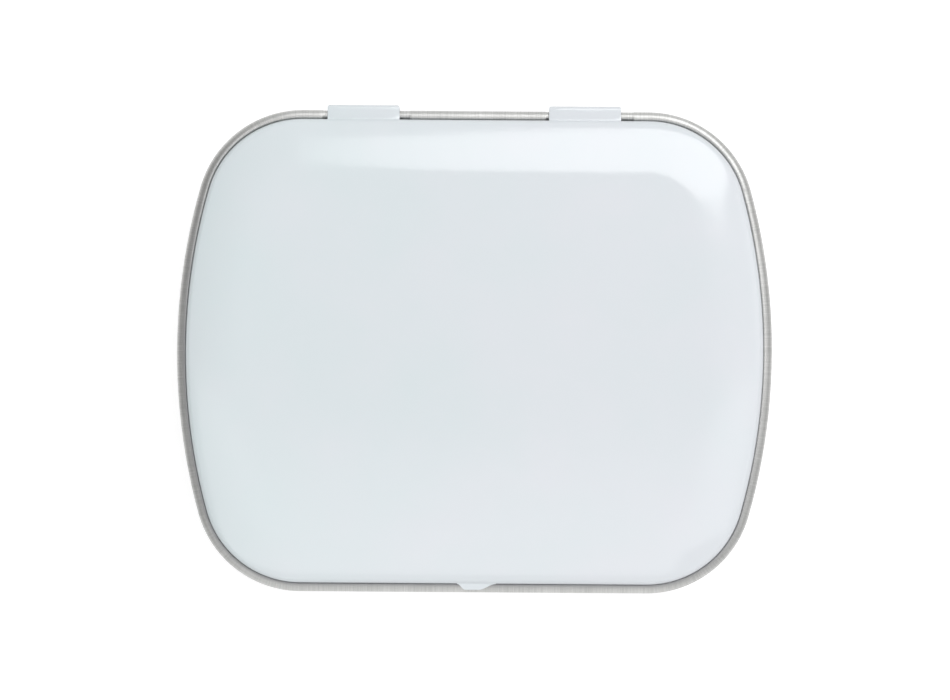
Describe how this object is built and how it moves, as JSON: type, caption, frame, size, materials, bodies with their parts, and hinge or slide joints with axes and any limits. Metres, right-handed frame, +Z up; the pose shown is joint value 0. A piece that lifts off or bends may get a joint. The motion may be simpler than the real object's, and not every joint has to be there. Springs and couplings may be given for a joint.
{
  "type": "mint tin",
  "caption": "Flat pocket tin with bowed sides, rolled rim and a domed hinged lid with a thumb lip, for mints.",
  "frame": {"origin": "centre of the base's flat underside, midway between its sides and its straight front and back", "axes": "+X to the right along the width, +Y to the hinge at the back, +Z up"},
  "size_m": [0.06, 0.049, 0.0109],
  "materials": {
    "tinplate": "bare drawn tinplate, satin",
    "white_lacquer": "cool white gloss lacquer outside, bare tinplate inside"
  },
  "bodies": {
    "base": {"base": "tinplate"},
    "lid": {"lid": "white_lacquer"}
  },
  "joints": [
    {"name": "lid_hinge", "type": "hinge", "parent": "base", "child": "lid", "pos_m": [0, 0.02378, 0.00873], "axis": [-1, 0, 0], "range_deg": [0, 110]}
  ]
}
